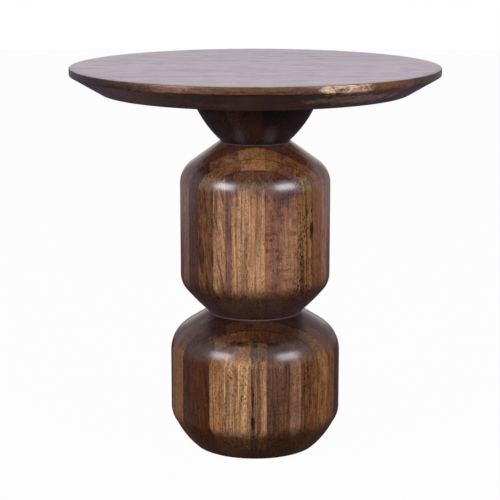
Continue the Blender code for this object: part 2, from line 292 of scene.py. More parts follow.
class StageLook(bpy.types.PropertyGroup):
    """Camera, lamps and floor."""

    camera_distance: length("Camera distance", "From the table's axis to the camera", 2.3268)
    camera_height: length("Camera height", "Camera above the floor", 0.7770)
    camera_side: measure("Camera side", "Camera beside the axis", -0.0072, unit="LENGTH")
    camera_pitch: measure(
        "Camera pitch", "How far the camera looks down", math.radians(12.07), subtype="ANGLE",
    )
    focal_length: measure("Focal length", "In millimetres on a 36 mm sensor", 122.5)
    lamp_distance: length("Lamp distance", "From the table to each lamp", 2.2)
    lamp_lift: measure("Lamp lift", "Angle of the lamps above level", math.radians(22.5), subtype="ANGLE")
    left_turn: measure("Left turn", "Left lamp from the camera", math.radians(-49.0), subtype="ANGLE")
    right_turn: measure("Right turn", "Right lamp from the camera", math.radians(47.0), subtype="ANGLE")
    lamp_tint: colour("Lamp tint", "Colour of both lamps", (0.943, 0.934, 1.0))
    lamp_power: measure("Lamp power", "Power of each lamp", 40.3, unit="POWER")
    ambient: share("Ambient", "Strength of the plain light from all round", 0.22)
    floor: colour("Floor", "Pale floor", (0.25, 0.25, 0.25))
    floor_white: share("Floor white", "How much of the floor is plain white where it shows", 0.975)
    floor_mirrored: colour("Floor mirrored", "The floor as the lacquer mirrors it", (0.070, 0.060, 0.070))
    card: colour("Card", "Pale cards beside the table that the shoulders mirror", (0.62, 0.585, 0.65))


PARTS = {
    "top": TopSizes,
    "neck": NeckSizes,
    "upper": UpperDrum,
    "lower": LowerDrum,
    "fittings": FittingSizes,
    "wood": WoodColours,
    "finish": WoodFinish,
    "metal": FittingColours,
    "stage": StageLook,
}


class TableSettings(bpy.types.PropertyGroup):
    """All settings of the side table."""

    __annotations__ = {
        key: PointerProperty(type=group, name=key.capitalize(), description=group.__doc__)
        for key, group in PARTS.items()
    }
    seed: IntProperty(name="Seed", description="Draw of the boards that were not chosen by hand", default=7)


def settings():
    """The scene's table settings."""
    return bpy.context.scene.side_table


# Boards, each from the last one's right side to its own, with the lean and marks of its grain
Board = namedtuple(
    "Board", "right tone slant streaks ripples specks crown", defaults=(0.0, 0.40, 0.1, 0.0, 0.0),
)
RIM = 1.0
UPPER_CHOSEN = {
    1: (
        Board(-0.040, "tan", 0.20, 0.80, crown=0.45),
        Board(-0.032, "smoke", 0.04, 0.80, 0.0, crown=0.7),
        Board(0.013, "gold", 0.0, 0.60, crown=0.85),
        Board(RIM, "mauve", 0.0, 0.20, 1.0, crown=0.65),
    ),
    2: (
        Board(-0.048, "bark", 0.14, 1.0),
        Board(-0.019, "olive", crown=0.45),
        Board(0.013, "honey", 0.0, 0.35, crown=0.3),
        Board(0.034, "olive", 0.0, 0.45, crown=0.1),
        Board(0.052, "bark"),
        Board(RIM, "olive", 0.03, 0.85, specks=1.0),
    ),
    3: (
        Board(-0.062, "soot", crown=0.4),
        Board(-0.023, "chestnut", 0.0, 0.45),
        Board(0.013, "honey", 0.0, 0.35, crown=0.35),
        Board(0.056, "rust", crown=0.1),
        Board(RIM, "rust", 0.02, 0.45),
    ),
    4: (Board(-0.070, "smoke", crown=0.5), Board(0.070, "umber"), Board(RIM, "mauve", crown=0.5)),
    5: (Board(0.0, "chestnut"), Board(RIM, "bark")),
    6: (Board(-0.020, "umber"), Board(0.030, "bark"), Board(RIM, "chestnut")),
}
LOWER_CHOSEN = {
    1: (
        Board(-0.043, "honey", 0.02, 0.35, specks=0.35, crown=0.4),
        Board(-0.024, "gold", 0.0, 0.50, specks=0.35, crown=0.2),
        Board(-0.006, "wheat", 0.0, 0.50, crown=0.1),
        Board(0.0028, "drab", 0.03, 1.00, crown=0.2),
        Board(0.0156, "tan", 0.03, 0.80, crown=0.3),
        Board(0.047, "chestnut", 0.0, 0.60, 0.7, crown=0.2),
        Board(RIM, "drab", ripples=0.6, crown=0.4),
    ),
    2: (
        Board(-0.055, "umber", 0.08, 0.25),
        Board(-0.012, "honey", 0.0, 0.45, crown=0.25),
        Board(0.018, "rust", 0.0, 0.35, crown=0.1),
        Board(0.064, "chestnut", 0.0, 0.35, 0.3),
        Board(0.0715, "rust", 0.0, 0.80, crown=0.4),
        Board(RIM, "rust", -0.06, 0.70, 0.5, crown=0.25),
    ),
    3: (
        Board(-0.040, "soot"),
        Board(0.020, "chestnut"),
        Board(0.060, "chestnut"),
        Board(RIM, "olive", -0.05, 0.60, 0.3, crown=0.25),
    ),
    4: (
        Board(-0.070, "olive", 0.0, 0.30, crown=0.6),
        Board(0.070, "soot"),
        Board(RIM, "rust", 0.0, 0.60, crown=0.25),
    ),
    5: (Board(-0.060, "drab", crown=0.5), Board(0.050, "chestnut"), Board(RIM, "soot")),
    6: (Board(0.010, "umber"), Board(RIM, "chestnut")),
}
TOP_CHOSEN = {
    1: (Board(RIM, "plum", 0.02, 0.80),),
    2: (Board(RIM, "fig", -0.01, 0.70),),
    3: (Board(RIM, "plum", 0.0, 0.65),),
    4: (Board(RIM, "fig", 0.01, 0.75),),
    5: (Board(RIM, "plum", -0.02, 0.70),),
}
RIM_CHOSEN = {
    1: (Board(RIM, "chestnut", 0.0, 0.50),),
    2: (Board(RIM, "umber", 0.0, 0.50),),
}
RIM_TONES = ("umber", "chestnut")
DRAWN_TONES = (
    "tan", "gold", "honey", "mauve", "drab", "rust", "bark", "chestnut", "umber", "olive", "smoke",
)
# The neck takes the darkest tones, partly as painted shade under the top
NECK_TONES = ("soot", "smoke", "grape", "soot")
DRUM_BOARD_WIDTHS = (0.022, 0.060)
RIM_BOARD_WIDTHS = (0.15, 0.40)
MOST_BOARDS = 24

# Knots on the drums' front, by their middle and half sizes
Knot = namedtuple("Knot", "x z width height dotted", defaults=(False,))
UPPER_KNOTS = (
    Knot(0.0755, 0.324, 0.0034, 0.016),
    Knot(0.0700, 0.349, 0.0020, 0.006),
    Knot(0.0675, 0.335, 0.0070, 0.055, True),
)
LOWER_KNOTS = (
    Knot(-0.0035, 0.066, 0.0040, 0.015),
    Knot(-0.0030, 0.100, 0.0015, 0.020),
    Knot(-0.0320, 0.131, 0.0090, 0.013, True),
    Knot(-0.0150, 0.110, 0.0070, 0.040, True),
    Knot(0.0700, 0.115, 0.0060, 0.040, True),
)

# Paler, redder or darker patches on the front, by their middle and half sizes, with tone and strength
Patch = namedtuple("Patch", "x z width height tone strength")
RIM_PATCHES = (
    Patch(-0.180, 0.531, 0.050, 0.007, "soot", 0.8),
    Patch(-0.105, 0.531, 0.028, 0.006, "mauve", 0.5),
    Patch(-0.010, 0.533, 0.030, 0.004, "rust", 0.4),
    Patch(0.091, 0.532, 0.010, 0.008, "straw", 1.0),
    Patch(0.123, 0.532, 0.027, 0.008, "straw", 1.0),
    Patch(0.170, 0.531, 0.030, 0.005, "rust", 0.8),
    Patch(0.072, 0.515, 0.020, 0.004, "straw", 0.35),
    Patch(0.120, 0.516, 0.058, 0.006, "straw", 0.5),
    Patch(0.010, 0.531, 0.070, 0.007, "soot", 0.35),
    Patch(-0.050, 0.510, 0.030, 0.003, "tan", 0.6),
)
NECK_PATCHES = (
    Patch(-0.030, 0.482, 0.010, 0.018, "honey", 0.8),
    Patch(0.012, 0.450, 0.030, 0.010, "rust", 0.6),
)
UPPER_PATCHES = (
    Patch(0.038, 0.380, 0.028, 0.025, "grape", 0.75),
    Patch(-0.029, 0.382, 0.010, 0.020, "smoke", 0.6),
    Patch(0.046, 0.290, 0.016, 0.060, "tan", 0.7),
    Patch(-0.036, 0.412, 0.012, 0.008, "honey", 0.4),
)
LOWER_PATCHES = (
    Patch(-0.034, 0.173, 0.028, 0.007, "honey", 0.45),
    Patch(-0.022, 0.171, 0.016, 0.003, "soot", 0.8),
    Patch(-0.053, 0.145, 0.009, 0.016, "rust", 0.55),
    # Painted highlight: paler wheat at the top of the tan board, where the lamp's highlight runs down
    Patch(-0.034, 0.142, 0.008, 0.020, "wheat", 0.9),
    Patch(0.096, 0.120, 0.006, 0.014, "honey", 0.45),
    Patch(0.084, 0.104, 0.006, 0.010, "honey", 0.40),
)

# What sets each drum apart, with the heights at which its foot's stain and painted shade, and its crown's
# stain, fade from its lower and upper corners
Drum = namedtuple("Drum", "name chosen knots patches foot_fade crown_fade")
UPPER = Drum("upper_drum", UPPER_CHOSEN, UPPER_KNOTS, UPPER_PATCHES, (0.020, -0.004), (-0.027, 0.001))
LOWER = Drum("lower_drum", LOWER_CHOSEN, LOWER_KNOTS, LOWER_PATCHES, (0.0135, -0.011), (-0.018, -0.003))
# Depths below a drum's top where the painted highlight on its ledge comes in and is full
LEDGE_HIGHLIGHT_START = 0.0014
LEDGE_HIGHLIGHT_FULL = 0.0006


def drawn_boards(draw, tones, widths, half_width):
    """Boards of one layer, drawn at random from a list of tones."""
    boards = []
    side = -half_width
    while side < half_width:
        side += draw.uniform(*widths)
        boards.append(Board(
            side if side < half_width else RIM, draw.choice(tones), draw.uniform(-0.04, 0.06),
            draw.uniform(0.25, 0.6), draw.choice((0.0, 0.1, 0.5)), draw.choice((0.0, 0.0, 0.0, 0.5)),
        ))
    return boards


def layers_of(nodes, chosen, tones, widths, half_width, seed):
    """Near and far faces of a part's layers, each with the boards chosen for it or else drawn."""
    draw = random.Random(seed)
    places = [-RIM, *joint_places(nodes), RIM]
    layers = []
    for number, (near, far) in enumerate(zip(places, places[1:]), 1):
        drawn = drawn_boards(draw, tones, widths, half_width)
        layers.append((near, far, chosen.get(number, drawn)))
    return layers


# Profiles, as (radius, height) points
def rounded(before, corner, after, radius, steps=CORNER_STEPS):
    """Points of an arc that rounds a profile's corner, kept within the sides that it joins."""
    corner = Vector(corner)
    back = Vector(before) - corner
    ahead = Vector(after) - corner
    half_angle = back.angle(ahead) / 2
    arm = min(radius / math.tan(half_angle), CORNER_SHARE * back.length, CORNER_SHARE * ahead.length)
    radius = arm * math.tan(half_angle)
    inward = (back.normalized() + ahead.normalized()).normalized()
    centre = corner + inward * radius / math.sin(half_angle)
    start = (corner + back.normalized() * arm - centre).normalized()
    end = (corner + ahead.normalized() * arm - centre).normalized()
    return [centre + start.slerp(end, i / steps) * radius for i in range(steps + 1)]


def bowed(start, end, bow):
    """Points of a shallow curve down a profile, standing out from its straight line by bow."""
    start = Vector(start)
    along = Vector(end) - start
    outward = Vector((-along.y, along.x)).normalized()
    shares = [i / BOW_STEPS for i in range(BOW_STEPS + 1)]
    return [start + along * t + outward * bow * 4 * t * (1 - t) for t in shares]


def drum_side(size, top, bottom, seam_round):
    """Outer side of a drum: a straight shoulder, an upright side and a bowed taper."""
    land_edge = Vector((size.land_diameter / 2, top))
    shoulder = Vector((size.diameter / 2, top - size.shoulder_drop))
    hip = Vector((size.diameter / 2, bottom + size.taper_rise))
    foot_edge = Vector((size.foot_diameter / 2, bottom))
    taper = rounded(shoulder, hip, foot_edge, size.taper_round)
    bow = bowed(taper[-1], foot_edge, size.taper_bow)
    return [
        *rounded((0.0, top), land_edge, shoulder, seam_round, EDGE_STEPS),
        *rounded(land_edge, shoulder, hip, size.shoulder_round),
        *taper[:-1],
        *bow[:-1],
        *rounded(bow[-2], foot_edge, (0.0, bottom), seam_round, EDGE_STEPS),
    ]


def filled(profile):
    """The profile with points added on its long straight runs."""
    points = [Vector(profile[0])]
    for point in profile[1:]:
        start = points[-1]
        run = Vector(point) - start
        count = max(1, math.ceil(run.length / LONGEST_FACE))
        points += [start + run * (i / count) for i in range(1, count + 1)]
    return points


# Modelling
def turn(name, profile, steps):
    """Extrudes a profile from one vertex and spins it about Z. The piece is left in edit mode."""
    bpy.ops.object.select_all(action="DESELECT")
    bpy.ops.mesh.primitive_plane_add(size=START_SIZE, location=(0.0, 0.0, 0.0))
    piece = bpy.context.object
    piece.name = name
    piece.data.name = name
    bpy.ops.object.mode_set(mode="EDIT")
    bpy.ops.mesh.select_mode(type="VERT")
    bpy.ops.mesh.select_all(action="SELECT")
    bpy.ops.mesh.merge(type="CENTER")
    bpy.ops.transform.translate(value=(profile[0][0], 0.0, profile[0][1]))
    for before, after in zip(profile, profile[1:]):
        move = (after[0] - before[0], 0.0, after[1] - before[1])
        bpy.ops.mesh.extrude_vertices_move(TRANSFORM_OT_translate={"value": move})
    bpy.ops.mesh.select_all(action="SELECT")
    bpy.ops.mesh.spin(steps=steps, angle=2 * math.pi, center=(0.0, 0.0, 0.0), axis=(0.0, 0.0, 1.0))
    bpy.ops.mesh.select_all(action="SELECT")
    bpy.ops.mesh.remove_doubles(threshold=MERGE_DISTANCE)
    bpy.ops.mesh.normals_make_consistent(inside=False)
    return piece


def select_layer(piece, near, far):
    """Selects the faces between two places along Y."""
    shape = bmesh.from_edit_mesh(piece.data)
    bpy.ops.mesh.select_all(action="DESELECT")
    for face in shape.faces:
        if near < face.calc_center_median().y < far:
            face.select_set(True)
    bmesh.update_edit_mesh(piece.data)


def saw_boards(piece, layers):
    """Cuts the mesh along the joints between layers, and between the boards of each layer."""
    bpy.ops.mesh.select_mode(type="FACE")
    for near, far, boards in layers[1:]:
        bpy.ops.mesh.select_all(action="SELECT")
        bpy.ops.mesh.bisect(plane_co=(0.0, near, 0.0), plane_no=(0.0, 1.0, 0.0))
    for near, far, boards in layers:
        for board in boards[:-1]:
            select_layer(piece, near, far)
            bpy.ops.mesh.bisect(plane_co=(board.right, 0.0, 0.0), plane_no=(1.0, 0.0, 0.0))


def finish_mesh():
    """Leaves edit mode and smooths what isn't an edge."""
    bpy.ops.object.mode_set(mode="OBJECT")
    bpy.ops.object.shade_smooth_by_angle(angle=SMOOTH_ANGLE)


def board_at(layers, x, y):
    """The layer and number of the board at a place."""
    layer = bisect.bisect([near for near, far, boards in layers[1:]], y)
    rights = [board.right for board in layers[layer][2][:-1]]
    return layer, bisect.bisect(rights, x)


def mark_boards(piece, layers, stain_and_painted_light_at, seed, rim_layers=None):
    """Stores each board's tone, grain, marks and sides on its faces, and on the points the stain with its
    painted shade and sheen.

    rim_layers are the boards as they show on the rim and underneath, where that differs. Returns the
    thickness of a layer.
    """
    mesh = piece.data
    wood = settings().wood
    draw = random.Random(seed)
    seeds = [[draw.random() for number in range(MOST_BOARDS)] for layer in layers]
    thickness = layers[2][0] - layers[1][0]
    tones, grain, marks, sides = [], [], [], []
    for face in mesh.polygons:
        shown = rim_layers if rim_layers and face.normal.z < RIM_SLOPE else layers
        layer, number = board_at(shown, face.center.x, face.center.y)
        boards = shown[layer][2]
        board = boards[number]
        left = boards[number - 1].right if number else -RIM
        near = layers[1][0] + (layer - 1) * thickness
        tones += [*getattr(wood, board.tone), 1.0]
        grain += [seeds[layer][number], board.slant, board.crown]
        marks += [board.streaks, board.ripples, board.specks]
        sides += [left, board.right, near]
    stored = (
        ("board_tone", "FLOAT_COLOR", "color", tones),
        ("board_grain", "FLOAT_VECTOR", "vector", grain),
        ("board_marks", "FLOAT_VECTOR", "vector", marks),
        ("board_sides", "FLOAT_VECTOR", "vector", sides),
    )
    for name, kind, field, values in stored:
        mesh.attributes.new(name, kind, "FACE").data.foreach_set(field, values)
    stains_and_painted_light = []
    for vertex in mesh.vertices:
        stains_and_painted_light += stain_and_painted_light_at(vertex)
    mesh.attributes.new("stain", "FLOAT_VECTOR", "POINT").data.foreach_set("vector", stains_and_painted_light)
    return thickness


def glue_up(name, profile, steps, layers, stain_and_painted_light_at, seed, rim_layers=None):
    """Turns a piece, saws it into its boards and marks them. Returns it with its layers' thickness."""
    piece = turn(name, filled(profile), steps)
    saw_boards(piece, rim_layers or layers)
    finish_mesh()
    return piece, mark_boards(piece, layers, stain_and_painted_light_at, seed, rim_layers)


def smooth_step(value, low, high):
    """Goes smoothly from 0 at low to 1 at high, and the other way where high is below low."""
    t = min(1.0, max(0.0, (value - low) / (high - low)))
    return t * t * (3.0 - 2.0 * t)


def place_piece(piece, material, nodes):
    """Gives a finished piece its material, and the CAD nodes that it stands for."""
    piece.data.materials.clear()
    piece.data.materials.append(material)
    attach(piece, "root")
    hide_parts(*nodes)


# Materials
class Flow:
    """An output socket in a node tree. Arithmetic on it adds Math nodes."""

    def __init__(self, tree, socket=None):
        self.tree = tree
        self.socket = socket

    def node(self, kind, put=None, inputs=None, output=0):
        """Adds a node: what is put on it is set first, then the values or links of its sockets."""
        made = self.tree.nodes.new(kind)
        for name, value in (put or {}).items():
            setattr(made, name, value)
        for name, value in (inputs or {}).items():
            if isinstance(value, Flow):
                self.tree.links.new(value.socket, made.inputs[name])
            else:
                made.inputs[name].default_value = value
        if isinstance(output, tuple):
            return [Flow(self.tree, made.outputs[name]) for name in output]
        return Flow(self.tree, made.outputs[output])

    def math(self, operation, first, second=0.0):
        """A Math node on two values."""
        return self.node("ShaderNodeMath", {"operation": operation}, {0: first, 1: second})

    def __add__(self, other):
        return self.math("ADD", self, other)

    __radd__ = __add__

    def __sub__(self, other):
        return self.math("SUBTRACT", self, other)

    def __rsub__(self, other):
        return self.math("SUBTRACT", other, self)

    def __mul__(self, other):
        return self.math("MULTIPLY", self, other)

    __rmul__ = __mul__

    def __truediv__(self, other):
        return self.math("DIVIDE", self, other)

    def __rtruediv__(self, other):
        return self.math("DIVIDE", other, self)

    def __pow__(self, other):
        return self.math("POWER", self, other)

    def __rpow__(self, other):
        return self.math("POWER", other, self)

    def away(self, first, second):
        """Distance from where both values are 0."""
        return self.math("SQRT", first * first + second * second)

    def places(self):
        """Object coordinates, as three values."""
        return self.node("ShaderNodeTexCoord", output="Object").parts()

    def stored(self, name, output="Vector"):
        """One of the piece's own attributes."""
        return self.node("ShaderNodeAttribute", {"attribute_name": name}, output=output)

    def parts(self):
        """The three values of a vector."""
        return self.node("ShaderNodeSeparateXYZ", inputs={0: self}, output=(0, 1, 2))

    def rise(self, low, high):
        """A smooth mask that goes from 0 at low to 1 at high."""
        put = {"interpolation_type": "SMOOTHSTEP"}
        return self.node("ShaderNodeMapRange", put, {0: self, 1: low, 2: high})

    def point(self, x, y, z):
        """A vector from three values."""
        return self.node("ShaderNodeCombineXYZ", inputs={0: x, 1: y, 2: z})

    def noise(self, place, detail=2.0, roughness=0.5):
        """Soft noise, one unit of place across."""
        inputs = {"Vector": place, "Scale": 1.0, "Detail": detail, "Roughness": roughness}
        return self.node("ShaderNodeTexNoise", inputs=inputs)

    def grain(self, places, size, detail):
        """Soft noise of a size along each axis."""
        return self.noise(self.point(*(place / wide for place, wide in zip(places, size))), detail)

    def plain(self, colour):
        """One colour all over."""
        made = self.node("ShaderNodeRGB")
        made.socket.default_value = (*colour, 1.0)
        return made

    def bump(self, strength, distance, height):
        """A relief for the shader's normal."""
        inputs = {"Strength": strength, "Distance": distance, "Height": height}
        return self.node("ShaderNodeBump", inputs=inputs)

    def scaled(self, amount):
        """A colour made lighter or darker."""
        return self.node("ShaderNodeVectorMath", {"operation": "SCALE"}, {0: self, "Scale": amount})

    def mixed(self, amount, colour, blend="MIX"):
        """A colour that gives way to another where amount is 1."""
        put = {"data_type": "RGBA", "blend_type": blend}
        return self.node("ShaderNodeMix", put, {0: amount, 6: self, 7: (*colour, 1.0)}, output=2)

    def tinted(self, amount, tint):
        """A colour multiplied by a tint where amount is 1."""
        return self.mixed(amount, tint, "MULTIPLY")


def new_material(name):
    """A material with its shader and an empty flow."""
    material = bpy.data.materials.new(name)
    material.use_nodes = True
    return material, material.node_tree.nodes["Principled BSDF"], Flow(material.node_tree)


def feed(shader, **flows):
    """Links values or colours to the shader's sockets, whose names have _ for a space."""
    for name, flow in flows.items():
        flow.tree.links.new(flow.socket, shader.inputs[name.replace("_", " ")])


def fix(shader, **values):
    """Sets the shader's sockets, whose names have _ for a space."""
    for name, value in values.items():
        shader.inputs[name.replace("_", " ")].default_value = value


# The wood's marks, by size across and along the grain, slice of noise, and levels where they come in
Mark = namedtuple("Mark", "across along slice detail roughness levels", defaults=(2.0, 0.5, None))
MARKS = {
    "warp": Mark(0.020, 0.120, 3.0),
    "mottle": Mark(0.012, 0.090, 11.0, 4.0, 0.6),
    "blotch": Mark(0.014, 0.030, 7.0, 4.0, 0.6, (0.46, 0.66)),
    "warmth": Mark(0.010, 0.060, 13.0, levels=(0.42, 0.66)),
    "fibre": Mark(0.0030, 0.150, 17.0, 4.0, 0.66),
    "hair": Mark(0.0016, 0.045, 19.0, 3.0, 0.6),
    "streak": Mark(0.0040, 0.180, 23.0, 3.0, levels=(0.53, 0.63)),
    "pores": Mark(0.0016, 0.0065, 29.0, 1.0, levels=(0.55, 0.67)),
    "pepper": Mark(0.0013, 0.0026, 37.0, 2.0, 0.6, (0.50, 0.68)),
    "ripple": Mark(0.022, 0.0042, 31.0, levels=(0.38, 0.70)),
    "rippled": Mark(0.020, 0.050, 53.0, 1.0, levels=(0.36, 0.58)),
    "cluster": Mark(0.020, 0.050, 41.0, 1.0, levels=(0.36, 0.56)),
    "speck": Mark(0.0022, 0.0040, 43.0, levels=(0.52, 0.64)),
    "crumble": Mark(0.006, 0.010, 47.0, 3.0),
}
SEED_SHIFT = 37.0
RING_PITCH = 0.0055
RING_WARP = 0.016
PITH_SPREAD = 0.22
PITH_DEPTH = 0.05
PITH_MORE_DEPTH = 0.06
GLUE_LINE = 0.0005
SCORCH = 0.0024
FACE_MARGIN = (0.0012, 0.0004)
KNOT_TINT = (0.11, 0.085, 0.075)


def lacquered_wood(
    name, grain_along, thickness, gloss=1.0, patches=(), knots=(), drum=None, ledge_highlight=None, satin=False,
):
    """Stained boards under a lacquer. Tone, lean and marks come from each board's attributes.

    gloss is how much lacquer there is, drum holds a drum's own settings, and ledge_highlight gives the
    heights between which the ledge at a seam gets a painted highlight. satin is for the top's face, which has
    its own lacquer.
    """
    finish = settings().finish
    material, shader, flow = new_material(name)
    x, y, z = flow.places()
    across, through, along = (x, y, z) if grain_along == "Z" else (y, z, x)
    seed, slant, board_crown = flow.stored("board_grain").parts()
    streaks, ripples, specks = flow.stored("board_marks").parts()
    left, right, near = flow.stored("board_sides").parts()
    # The points' stain holds the foot, the dark (stain, painted shade under the top and on the neck, and a
    # painted sheen at the lower drum's sides) and the crown
    foot, dark, crown = flow.stored("stain").parts()
    leaned = across + slant * along
    shift = seed * SEED_SHIFT

    def noise_of(mark):
        """A mark's noise, in coordinates where its size is one unit across and along the grain."""
        wide = mark.across
        place = flow.point(leaned / wide + shift, through / wide + mark.slice, along / mark.along + shift)
        noise = flow.noise(place, mark.detail, mark.roughness)
        return noise.rise(*mark.levels) if mark.levels else noise

    marks = SimpleNamespace(**{key: noise_of(mark) for key, mark in MARKS.items()})
    fibre, hair, crumble = marks.fibre, marks.hair, marks.crumble

    # Growth rings about a pith that lies beside the board
    ring_x = leaned - (seed - 0.5) * PITH_SPREAD + (marks.warp - 0.5) * RING_WARP
    ring_y = through + PITH_DEPTH + seed * PITH_MORE_DEPTH
    late_wood = flow.math("FRACT", flow.away(ring_x, ring_y) / RING_PITCH) ** 3.0

    # Glue lines round each board
    beside = flow.math("MINIMUM", x - left, right - x)
    behind = flow.math("MINIMUM", y - near, near + thickness - y)
    glue = 1.0 - flow.math("MINIMUM", beside, behind).rise(0.0, GLUE_LINE)
    scorched = (1.0 - behind.rise(0.0, SCORCH)) * crown * crumble.rise(0.38, 0.62)

    def ragged(spot):
        """Distance from the middle of a spot on the front, 1 at its edge, broken up along the grain."""
        out = flow.away((x - spot.x) / spot.width, (z - spot.z) / spot.height)
        return out + (fibre - 0.5) * 1.4 + (crumble - 0.5) * 2.0

    front = 1.0 - y.rise(-0.02, 0.0)
    if grain_along == "X":
        # A patch on the rim stops below the top's face
        front = front * (1.0 - z.rise(*(TOP_HIGH.z - margin for margin in FACE_MARGIN)))
    tone = flow.stored("board_tone", "Color")
    for patch in patches:
        amount = (1.0 - ragged(patch).rise(0.6, 1.1)) * front * patch.strength
        tone = tone.mixed(amount, getattr(settings().wood, patch.tone))
    if drum:
        # Stain and painted shade: the taper darkens towards the foot
        tone = tone.mixed(foot * 0.88, drum.foot_stain)
    shade = 1.26 + 0.9 * (marks.mottle - 0.5) + (0.5 + 1.4 * streaks) * (fibre - 0.5)
    tone = tone.scaled(shade + (1.0 + 2.2 * streaks) * (hair - 0.5))
    tints = [
        # Painted glints: pale, cool fibres where the lacquer would catch the light
        (hair.rise(0.54, 0.74) * 0.7, (1.20, 1.34, 1.50)),
        (marks.warmth * 0.7, (1.0, 0.90, 0.78)),
        (marks.blotch * (0.25 + 0.45 * crown), (0.50, 0.42, 0.44)),
        (late_wood * 0.45, (0.62, 0.54, 0.48)),
        (marks.streak * streaks, (0.42, 0.34, 0.31)),
        (marks.ripple * marks.rippled * ripples * 0.9, (0.58, 0.48, 0.45)),
        (marks.pores * 0.6, (0.38, 0.31, 0.28)),
        (marks.pepper * 0.9, (0.37, 0.30, 0.27)),
        (marks.speck * marks.cluster * specks, (0.10, 0.08, 0.07)),
    ]
    for knot in knots:
        black = (1.0 - ragged(knot).rise(0.3, 1.2)) * front * 0.95
        tints.append((black * marks.speck if knot.dotted else black, KNOT_TINT))
    tints += [
        # Dark stain, with painted shade under the top's bevel and underside and on the neck
        (dark, (0.20, 0.15, 0.145)),
        (crown * board_crown, (0.15, 0.11, 0.125)),
        (glue * 0.6, (0.42, 0.35, 0.32)),
        (scorched * 0.8, (0.32, 0.25, 0.24)),
    ]
    for amount, tint in tints:
        tone = tone.tinted(amount, tint)
    # Painted highlight: a pale line on the ledge at the seam
    if ledge_highlight:
        tone = tone.mixed(z.rise(*ledge_highlight) * (0.4 + fibre), finish.ledge_highlight_tone)

    # The lacquer is thin where it has sunk into the fibres, and on a taper, and thicker on a shoulder
    if satin:
        coat = (1.0 - marks.streak * 0.4) * (1.0 - 0.5 * fibre) * (1.26 - 0.48 * marks.blotch)
    else:
        coat = (1.30 - 0.35 * fibre - 0.25 * hair) * gloss
    if drum:
        coat = coat * (1.0 - foot * (1.0 - finish.foot_gloss) + crown ** 3.0 * drum.crown_gloss)
    feed(
        shader, Base_Color=tone, Coat_Weight=coat,
        Roughness=finish.pedestal_roughness + 0.10 * (marks.mottle - 0.5) + 0.10 * marks.pores,
        Normal=flow.bump(0.12, 0.0004, fibre * 0.4 + hair * 0.2 - marks.pores * 0.6),
    )
    lacquer = "top" if satin else "pedestal"
    roughness, ior, bloom, tint = (
        getattr(finish, f"{lacquer}_{key}") for key in ("roughness", "ior", "bloom", "tint")
    )
    fix(
        shader, Coat_Roughness=roughness, Coat_IOR=ior, Specular_IOR_Level=0.0,
        Sheen_Weight=bloom, Sheen_Roughness=0.4, Sheen_Tint=(*tint, 1.0),
    )
    return material


def plated_steel(name):
    """Zinc-plated steel with fine draw marks and dull patches."""
    material, shader, flow = new_material(name)
    places = flow.places()
    lines = flow.grain(places, (0.0004, 0.0004, 0.006), 2.0)
    patches = flow.grain(places, (0.008, 0.008, 0.008), 3.0)
    steel = flow.plain(settings().metal.steel).scaled(0.75 + 0.35 * patches)
    feed(
        shader, Base_Color=steel.tinted(lines.rise(0.5, 0.7) * 0.4, (0.7, 0.7, 0.72)),
        Roughness=0.28 + 0.22 * patches + 0.08 * lines, Normal=flow.bump(0.08, 0.0002, lines),
    )
    fix(shader, Metallic=1.0)
    return material


def dowel_beech(name):
    """Pale beech with its short dark flecks."""
    material, shader, flow = new_material(name)
    places = flow.places()
    fibre = flow.grain(places, (0.001, 0.001, 0.02), 3.0)
    fleck = flow.grain(places, (0.0006, 0.0006, 0.0022), 1.0).rise(0.60, 0.70)
    beech = flow.plain(settings().metal.beech).scaled(0.85 + 0.30 * fibre)
    feed(shader, Base_Color=beech.tinted(fleck * 0.5, (0.55, 0.42, 0.32)), Roughness=0.5 + 0.2 * fibre)
    return material


def pad_felt(name):
    """Dark needle felt with loose fibres."""
    material, shader, flow = new_material(name)
    places = flow.places()
    fibre = flow.grain(places, (0.0005, 0.0012, 0.0004), 4.0)
    crossing = flow.grain(places, (0.0012, 0.0005, 0.0004), 4.0)
    felt = flow.plain(settings().metal.felt)
    feed(
        shader, Base_Color=felt.scaled(0.4 + 0.7 * fibre + 0.7 * crossing),
        Roughness=0.85 + 0.12 * fibre, Normal=flow.bump(0.6, 0.0004, fibre + crossing),
    )
    return material


